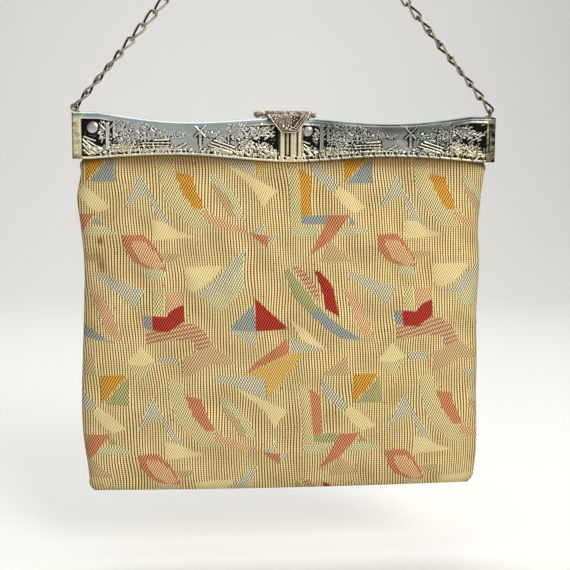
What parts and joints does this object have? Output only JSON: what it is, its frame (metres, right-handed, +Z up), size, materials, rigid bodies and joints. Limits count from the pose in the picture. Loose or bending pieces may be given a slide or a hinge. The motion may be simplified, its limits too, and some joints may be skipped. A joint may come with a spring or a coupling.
{
  "type": "tapestry handbag",
  "caption": "Flat tapestry handbag on a hinged cast frame with low relief and a fold-over clasp, hanging by a curb chain handle.",
  "frame": {"origin": "under the chain's middle link, where a hook or a finger carries the bag", "axes": "+Z up along the hanging line, +X to the viewer's right along the frame, -Y to the front with the relief"},
  "size_m": [0.2042, 0.0171, 0.3015],
  "materials": {
    "tapestry": "ribbed woven cloth with coloured figures, a little stained",
    "frame_silver": "worn silver plate with dark tarnish in the relief",
    "clasp_bronze": "dull bronze with rubbed edges",
    "chain_metal": "worn plated wire"
  },
  "bodies": {
    "root": {"pouch": "tapestry", "front_rail": "frame_silver", "back_rail": "frame_silver", "hinge_rivet_left": "frame_silver", "hinge_rivet_right": "frame_silver", "clasp_pin": "clasp_bronze", "chain_eye_left": "chain_metal", "chain_eye_right": "chain_metal", "chain_link_01": "chain_metal", "chain_link_02": "chain_metal", "chain_link_03": "chain_metal", "chain_link_04": "chain_metal", "chain_link_05": "chain_metal", "chain_link_06": "chain_metal", "chain_link_07": "chain_metal", "chain_link_08": "chain_metal", "chain_link_09": "chain_metal", "chain_link_10": "chain_metal", "chain_link_11": "chain_metal", "chain_link_12": "chain_metal", "chain_link_13": "chain_metal", "chain_link_14": "chain_metal", "chain_link_15": "chain_metal", "chain_link_16": "chain_metal", "chain_link_17": "chain_metal", "chain_link_18": "chain_metal", "chain_link_19": "chain_metal", "chain_link_20": "chain_metal", "chain_link_21": "chain_metal", "chain_link_22": "chain_metal", "chain_link_23": "chain_metal", "chain_link_24": "chain_metal", "chain_link_25": "chain_metal", "chain_link_26": "chain_metal", "chain_link_27": "chain_metal", "chain_link_28": "chain_metal", "chain_link_29": "chain_metal", "chain_link_30": "chain_metal", "chain_link_31": "chain_metal", "chain_link_32": "chain_metal", "chain_link_33": "chain_metal", "chain_link_34": "chain_metal", "chain_link_35": "chain_metal", "chain_link_36": "chain_metal", "chain_link_37": "chain_metal"},
    "clasp": {"clasp_flap": "clasp_bronze"}
  },
  "joints": [
    {"name": "clasp_hinge", "type": "hinge", "parent": "root", "child": "clasp", "pos_m": [0, 0.0034, -0.1126], "axis": [-1, 0, 0], "range_deg": [0, 110]}
  ]
}
